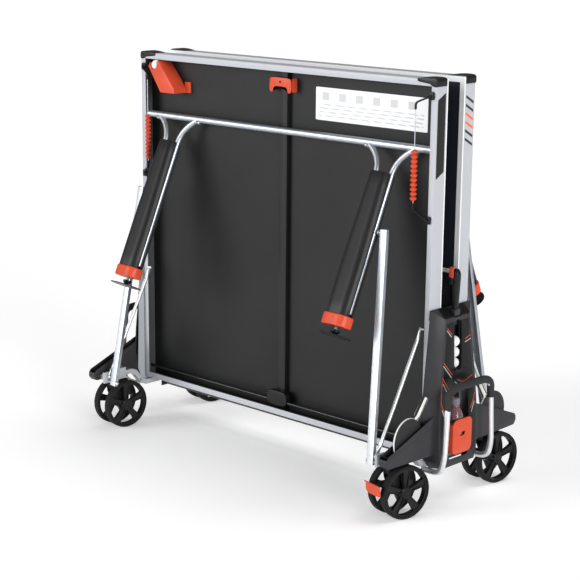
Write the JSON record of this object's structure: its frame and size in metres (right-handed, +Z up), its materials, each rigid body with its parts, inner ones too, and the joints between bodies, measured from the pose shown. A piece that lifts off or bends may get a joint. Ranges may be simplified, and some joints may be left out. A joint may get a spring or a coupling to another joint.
{
  "type": "folding table tennis table",
  "caption": "Outdoor table tennis table folded upright for storage, with twin-wheel casters, net, score beads, ball and bat pockets and a bottle holder at each end.",
  "frame": {"origin": "On the floor, under the middle of the folded table.", "axes": "X runs along the net across the table's width, Y runs along its length when it is open, Z is up."},
  "size_m": [1.7696, 0.898, 1.5565],
  "materials": {
    "playing_surface": "slate laminate, fine matt grain, white court lines",
    "white_steel": "smooth white powder coat, with black corner guards",
    "black_steel": "satin black powder coat",
    "zinc_steel": "zinc plated tube, light drawn grain",
    "silver_paint": "pale silver powder coat",
    "black_plastic": "moulded, fine texture",
    "charcoal_plastic": "moulded, fine texture",
    "orange_plastic": "moulded, smooth",
    "tyre_rubber": "dark grey rubber tread",
    "net_fabric": "knotted mesh with white top tape",
    "ball_white": "smooth celluloid-like plastic",
    "bottle_clear": "clear tinted bottle, grey cap",
    "bat_rubber": "dark rubber faces on a wooden blade, pale edge tape"
  },
  "bodies": {
    "chassis": {"cross_beam": "black_steel", "end_frame_right": "silver_paint", "end_frame_left": "silver_paint", "end_cover_right": "charcoal_plastic", "end_cover_left": "charcoal_plastic", "bumper_tube_right": "zinc_steel", "bumper_tube_left": "zinc_steel", "bottle_holder_right": "orange_plastic", "bottle_holder_left": "orange_plastic", "drink_bottle": "bottle_clear", "spare_balls": "ball_white", "bat_front": "bat_rubber", "bat_rear": "bat_rubber"},
    "front_carriage": {"front_pivot_shaft": "black_steel"},
    "front_top": {"front_playing_board": "playing_surface", "front_apron_frame": "white_steel", "front_centre_rail": "black_steel", "front_ball_dispenser": "orange_plastic"},
    "front_legs": {"front_leg_frame": "zinc_steel", "front_leg_shell_right": "black_plastic", "front_leg_shell_left": "black_plastic"},
    "front_stay_right": {"front_stay_right": "zinc_steel"},
    "front_stay_left": {"front_stay_left": "zinc_steel"},
    "front_link_right": {"front_link_right": "zinc_steel"},
    "front_link_left": {"front_link_left": "zinc_steel"},
    "front_foot_right": {"front_foot_right": "black_plastic"},
    "front_foot_left": {"front_foot_left": "black_plastic"},
    "front_beads_right": {"front_score_beads_right": "orange_plastic"},
    "front_beads_left": {"front_score_beads_left": "orange_plastic"},
    "rear_carriage": {"rear_pivot_shaft": "black_steel"},
    "rear_top": {"rear_playing_board": "playing_surface", "rear_apron_frame": "white_steel", "rear_centre_rail": "black_steel", "rear_ball_dispenser": "orange_plastic"},
    "rear_legs": {"rear_leg_frame": "zinc_steel", "rear_leg_shell_right": "black_plastic", "rear_leg_shell_left": "black_plastic"},
    "rear_stay_right": {"rear_stay_right": "zinc_steel"},
    "rear_stay_left": {"rear_stay_left": "zinc_steel"},
    "rear_link_right": {"rear_link_right": "zinc_steel"},
    "rear_link_left": {"rear_link_left": "zinc_steel"},
    "rear_foot_right": {"rear_foot_right": "black_plastic"},
    "rear_foot_left": {"rear_foot_left": "black_plastic"},
    "rear_beads_right": {"rear_score_beads_right": "orange_plastic"},
    "rear_beads_left": {"rear_score_beads_left": "orange_plastic"},
    "front_right_caster": {"front_right_caster_fork": "black_plastic"},
    "front_right_wheels": {"front_right_twin_wheels": "tyre_rubber"},
    "front_right_brake": {"front_right_brake_pedal": "orange_plastic"},
    "front_left_caster": {"front_left_caster_fork": "black_plastic"},
    "front_left_wheels": {"front_left_twin_wheels": "tyre_rubber"},
    "rear_right_caster": {"rear_right_caster_fork": "black_plastic"},
    "rear_right_wheels": {"rear_right_twin_wheels": "tyre_rubber"},
    "rear_left_caster": {"rear_left_caster_fork": "black_plastic"},
    "rear_left_wheels": {"rear_left_twin_wheels": "tyre_rubber"},
    "rear_left_brake": {"rear_left_brake_pedal": "orange_plastic"},
    "net_set": {"net": "net_fabric", "net_post_right": "black_plastic", "net_post_left": "black_plastic"},
    "tension_lever_right": {"net_tension_lever_right": "orange_plastic"},
    "tension_lever_left": {"net_tension_lever_left": "orange_plastic"}
  },
  "joints": [
    {"name": "front_carriage_slide", "type": "slide", "parent": "chassis", "child": "front_carriage", "axis": [0, 0.0654, 0.9979], "range_m": [0, 0.4891]},
    {"name": "front_top_fold", "type": "hinge", "parent": "front_carriage", "child": "front_top", "pos_m": [0, -0.088, 0.23], "axis": [1, 0, 0], "range_deg": [0, 90]},
    {"name": "front_leg_fold", "type": "hinge", "parent": "front_top", "child": "front_legs", "pos_m": [0, -0.091, 1.303], "axis": [1, 0, 0], "range_deg": [-65.3, 0]},
    {"name": "front_stay_right_turn", "type": "hinge", "parent": "chassis", "child": "front_stay_right", "pos_m": [0, -0.34194, 0.232], "axis": [1, 0, 0], "range_deg": [0, 45.89]},
    {"name": "front_stay_left_turn", "type": "hinge", "parent": "chassis", "child": "front_stay_left", "pos_m": [0, -0.34194, 0.232], "axis": [1, 0, 0], "range_deg": [0, 45.89]},
    {"name": "front_link_right_turn", "type": "hinge", "parent": "chassis", "child": "front_link_right", "pos_m": [0, -0.33975, 0.21], "axis": [1, 0, 0], "range_deg": [0, 84.98]},
    {"name": "front_link_left_turn", "type": "hinge", "parent": "chassis", "child": "front_link_left", "pos_m": [0, -0.33975, 0.21], "axis": [1, 0, 0], "range_deg": [0, 84.98]},
    {"name": "front_foot_right_screw", "type": "slide", "parent": "front_legs", "child": "front_foot_right", "axis": [0, 0.4195, 0.9078], "range_m": [0, 0.008]},
    {"name": "front_foot_left_screw", "type": "slide", "parent": "front_legs", "child": "front_foot_left", "axis": [0, 0.4195, 0.9078], "range_m": [0, 0.008]},
    {"name": "front_beads_right_slide", "type": "slide", "parent": "front_top", "child": "front_beads_right", "axis": [0, 0, 1], "range_m": [0, 0.105]},
    {"name": "front_beads_left_slide", "type": "slide", "parent": "front_top", "child": "front_beads_left", "axis": [0, 0, 1], "range_m": [0, 0.105]},
    {"name": "rear_carriage_slide", "type": "slide", "parent": "chassis", "child": "rear_carriage", "axis": [0, -0.0654, 0.9979], "range_m": [0, 0.4891]},
    {"name": "rear_top_fold", "type": "hinge", "parent": "rear_carriage", "child": "rear_top", "pos_m": [0, 0.088, 0.23], "axis": [-1, 0, 0], "range_deg": [0, 90]},
    {"name": "rear_leg_fold", "type": "hinge", "parent": "rear_top", "child": "rear_legs", "pos_m": [0, 0.091, 1.303], "axis": [-1, 0, 0], "range_deg": [-65.3, 0]},
    {"name": "rear_stay_right_turn", "type": "hinge", "parent": "chassis", "child": "rear_stay_right", "pos_m": [0, 0.34194, 0.232], "axis": [-1, 0, 0], "range_deg": [0, 45.89]},
    {"name": "rear_stay_left_turn", "type": "hinge", "parent": "chassis", "child": "rear_stay_left", "pos_m": [0, 0.34194, 0.232], "axis": [-1, 0, 0], "range_deg": [0, 45.89]},
    {"name": "rear_link_right_turn", "type": "hinge", "parent": "chassis", "child": "rear_link_right", "pos_m": [0, 0.33975, 0.21], "axis": [-1, 0, 0], "range_deg": [0, 84.98]},
    {"name": "rear_link_left_turn", "type": "hinge", "parent": "chassis", "child": "rear_link_left", "pos_m": [0, 0.33975, 0.21], "axis": [-1, 0, 0], "range_deg": [0, 84.98]},
    {"name": "rear_foot_right_screw", "type": "slide", "parent": "rear_legs", "child": "rear_foot_right", "axis": [0, -0.4195, 0.9078], "range_m": [0, 0.008]},
    {"name": "rear_foot_left_screw", "type": "slide", "parent": "rear_legs", "child": "rear_foot_left", "axis": [0, -0.4195, 0.9078], "range_m": [0, 0.008]},
    {"name": "rear_beads_right_slide", "type": "slide", "parent": "rear_top", "child": "rear_beads_right", "axis": [0, 0, 1], "range_m": [0, 0.105]},
    {"name": "rear_beads_left_slide", "type": "slide", "parent": "rear_top", "child": "rear_beads_left", "axis": [0, 0, 1], "range_m": [0, 0.105]},
    {"name": "front_right_swivel", "type": "hinge", "parent": "chassis", "child": "front_right_caster", "pos_m": [0.757, -0.272, 0.2], "axis": [0, 0, 1], "continuous": true},
    {"name": "front_right_roll", "type": "hinge", "parent": "front_right_caster", "child": "front_right_wheels", "pos_m": [0.76063, -0.25745, 0.1], "axis": [0.9703, -0.2419, 0], "continuous": true},
    {"name": "front_right_brake_release", "type": "hinge", "parent": "front_right_caster", "child": "front_right_brake", "pos_m": [0.75265, -0.28946, 0.138], "axis": [0.9703, -0.2419, 0], "range_deg": [-8, 0]},
    {"name": "front_left_swivel", "type": "hinge", "parent": "chassis", "child": "front_left_caster", "pos_m": [-0.757, -0.272, 0.2], "axis": [0, 0, 1], "continuous": true},
    {"name": "front_left_roll", "type": "hinge", "parent": "front_left_caster", "child": "front_left_wheels", "pos_m": [-0.75543, -0.25708, 0.1], "axis": [0.9945, -0.1045, 0], "continuous": true},
    {"name": "rear_right_swivel", "type": "hinge", "parent": "chassis", "child": "rear_right_caster", "pos_m": [0.757, 0.272, 0.2], "axis": [0, 0, 1], "continuous": true},
    {"name": "rear_right_roll", "type": "hinge", "parent": "rear_right_caster", "child": "rear_right_wheels", "pos_m": [0.75935, 0.28681, 0.1], "axis": [0.9877, -0.1564, 0], "continuous": true},
    {"name": "rear_left_swivel", "type": "hinge", "parent": "chassis", "child": "rear_left_caster", "pos_m": [-0.757, 0.272, 0.2], "axis": [0, 0, 1], "continuous": true},
    {"name": "rear_left_roll", "type": "hinge", "parent": "rear_left_caster", "child": "rear_left_wheels", "pos_m": [-0.75935, 0.25718, 0.1], "axis": [-0.9877, 0.1564, 0], "continuous": true},
    {"name": "rear_left_brake_release", "type": "hinge", "parent": "rear_left_caster", "child": "rear_left_brake", "pos_m": [-0.75418, 0.28978, 0.138], "axis": [-0.9877, 0.1564, 0], "range_deg": [-8, 0]},
    {"name": "net_lift", "type": "slide", "parent": "chassis", "child": "net_set", "axis": [0, 0, 1], "range_m": [0, 0.042]},
    {"name": "tension_lever_right_release", "type": "hinge", "parent": "net_set", "child": "tension_lever_right", "pos_m": [0.783, -0.0185, 0.82], "axis": [1, 0, 0], "range_deg": [0, 40]},
    {"name": "tension_lever_left_release", "type": "hinge", "parent": "net_set", "child": "tension_lever_left", "pos_m": [-0.783, -0.0185, 0.82], "axis": [1, 0, 0], "range_deg": [0, 40]}
  ],
  "couplings": [
    {"joint": "front_carriage_slide", "follows": "front_top_fold", "m_per_rad": 0.31134},
    {"joint": "front_leg_fold", "follows": "front_top_fold", "ratio": -0.72444},
    {"joint": "front_stay_right_turn", "follows": "front_top_fold", "ratio": 0.50932},
    {"joint": "front_stay_left_turn", "follows": "front_top_fold", "ratio": 0.50932},
    {"joint": "front_link_right_turn", "follows": "front_top_fold", "ratio": 0.94366},
    {"joint": "front_link_left_turn", "follows": "front_top_fold", "ratio": 0.94366},
    {"joint": "rear_carriage_slide", "follows": "rear_top_fold", "m_per_rad": 0.31134},
    {"joint": "rear_leg_fold", "follows": "rear_top_fold", "ratio": -0.72444},
    {"joint": "rear_stay_right_turn", "follows": "rear_top_fold", "ratio": 0.50932},
    {"joint": "rear_stay_left_turn", "follows": "rear_top_fold", "ratio": 0.50932},
    {"joint": "rear_link_right_turn", "follows": "rear_top_fold", "ratio": 0.94366},
    {"joint": "rear_link_left_turn", "follows": "rear_top_fold", "ratio": 0.94366}
  ]
}
